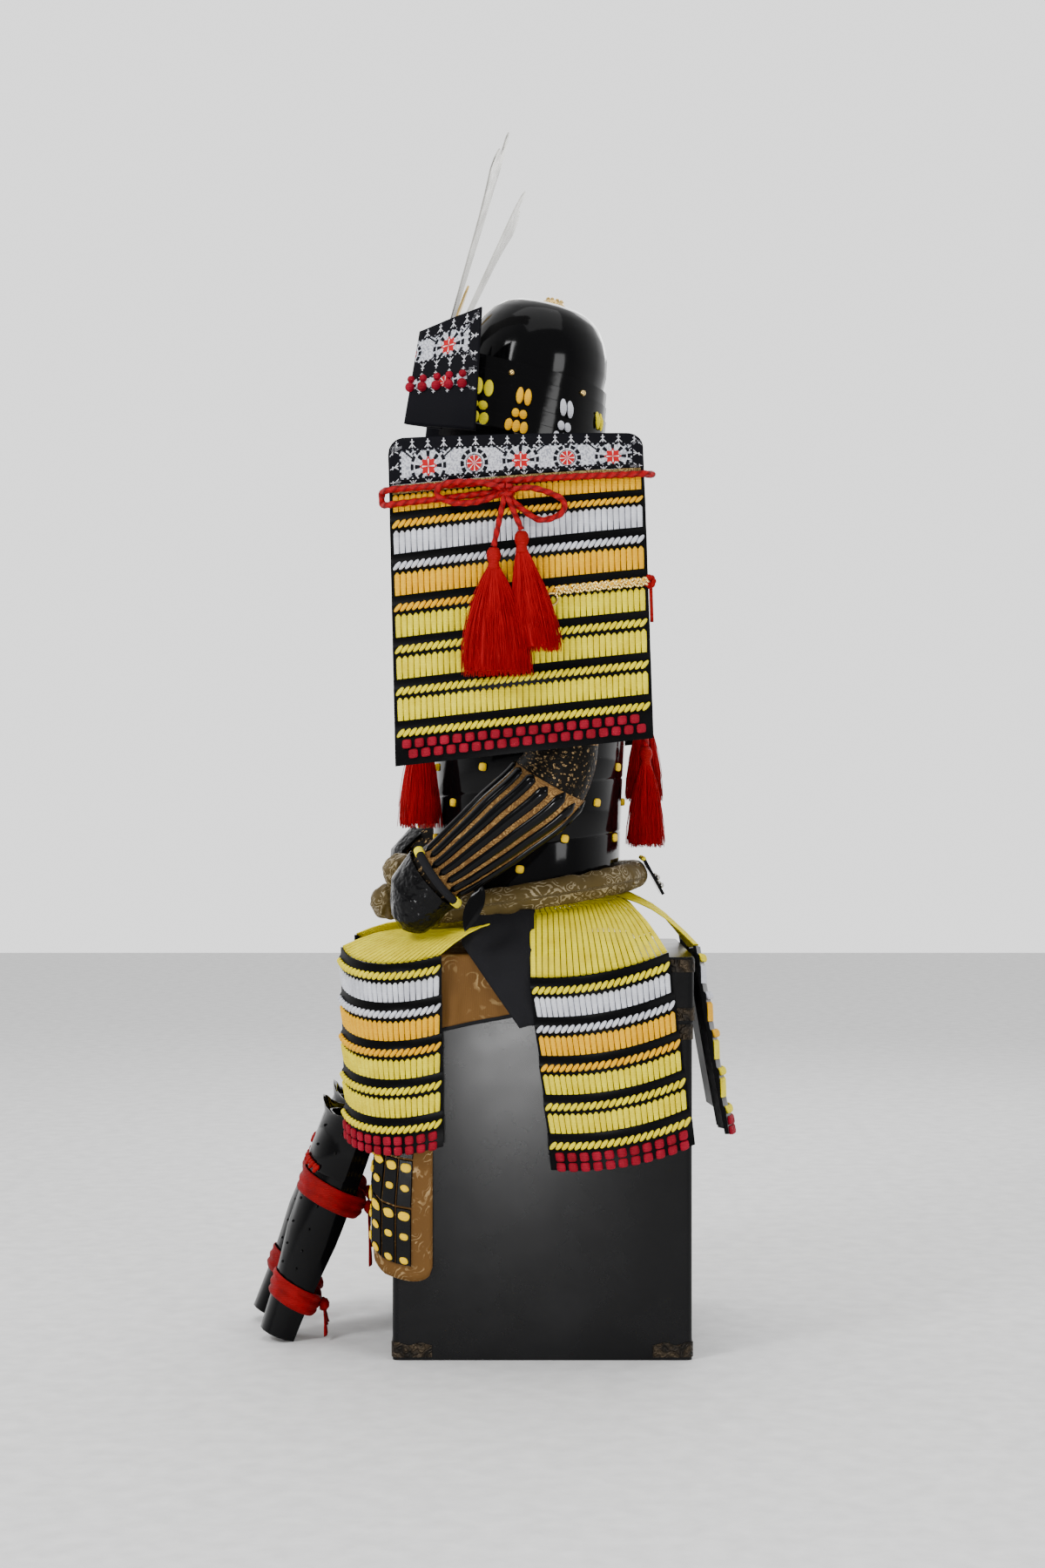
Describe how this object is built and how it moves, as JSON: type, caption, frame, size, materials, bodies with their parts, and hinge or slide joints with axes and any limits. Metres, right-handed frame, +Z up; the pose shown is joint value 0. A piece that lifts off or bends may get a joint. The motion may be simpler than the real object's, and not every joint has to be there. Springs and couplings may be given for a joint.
{
  "type": "samurai armour on its storage box and inner display stand",
  "caption": "Full suit of laced lacquered samurai armour, seated as displayed on its black storage box over a plain inner stand.",
  "frame": {"origin": "centre of the storage box's underside, on the floor", "axes": "+Z up; the armour faces -Y and its left arm is at +X"},
  "size_m": [0.6808, 0.6382, 1.5592],
  "materials": {
    "black_lacquer": "high gloss black lacquer over plates",
    "box_lacquer": "glossy black lacquer over wood",
    "yellow_lacing": "flat braided silk lacing, mostly yellow",
    "brocade": "brown and gold woven brocade",
    "roll_brocade": "olive and gold woven brocade, padded",
    "red_silk": "twisted silk cord",
    "printed_leather": "pale leather with a printed pattern",
    "silver": "dull silver sheet",
    "gold": "gilt",
    "stand_wood": "dark plain wood"
  },
  "bodies": {
    "root": {"box_body": "box_lacquer", "box_lid": "box_lacquer", "display_stand": "stand_wood", "cuirass": "black_lacquer", "waist_holder": "black_lacquer", "helmet_bowl": "black_lacquer", "neck_guard": "black_lacquer", "waist_roll": "roll_brocade", "tasset_front_left": "black_lacquer", "tasset_side_left": "black_lacquer", "tasset_rear_left": "black_lacquer", "splints_left": "black_lacquer", "hand_plate_left": "black_lacquer", "guard_left": "black_lacquer", "shin_guard_left": "black_lacquer", "knee_plate_left": "black_lacquer", "cords_front_left": "yellow_lacing", "cords_side_left": "yellow_lacing", "cords_rear_left": "yellow_lacing", "sleeve_left": "brocade", "thigh_panel_left": "brocade", "guard_top_left": "printed_leather", "turnback_left": "printed_leather", "guard_cord_left": "red_silk", "guard_tassel_left_front": "red_silk", "guard_tassel_left_rear": "red_silk", "back_tassel_left": "red_silk", "knee_tie_left": "red_silk", "ankle_tie_left": "red_silk", "crest_horn_left": "silver", "tasset_front_right": "black_lacquer", "tasset_side_right": "black_lacquer", "tasset_rear_right": "black_lacquer", "splints_right": "black_lacquer", "hand_plate_right": "black_lacquer", "guard_right": "black_lacquer", "shin_guard_right": "black_lacquer", "knee_plate_right": "black_lacquer", "cords_front_right": "yellow_lacing", "cords_side_right": "yellow_lacing", "cords_rear_right": "yellow_lacing", "sleeve_right": "brocade", "thigh_panel_right": "brocade", "guard_top_right": "printed_leather", "turnback_right": "printed_leather", "guard_cord_right": "red_silk", "guard_tassel_right_front": "red_silk", "guard_tassel_right_rear": "red_silk", "back_tassel_right": "red_silk", "knee_tie_right": "red_silk", "ankle_tie_right": "red_silk", "crest_horn_right": "silver", "tasset_front_centre": "black_lacquer", "cords_front_centre": "yellow_lacing", "thigh_apron": "brocade", "chest_tassel": "red_silk", "back_bow": "red_silk", "helmet_peak": "printed_leather", "crown_ring": "gold", "crest_socket": "gold"}
  },
  "joints": []
}
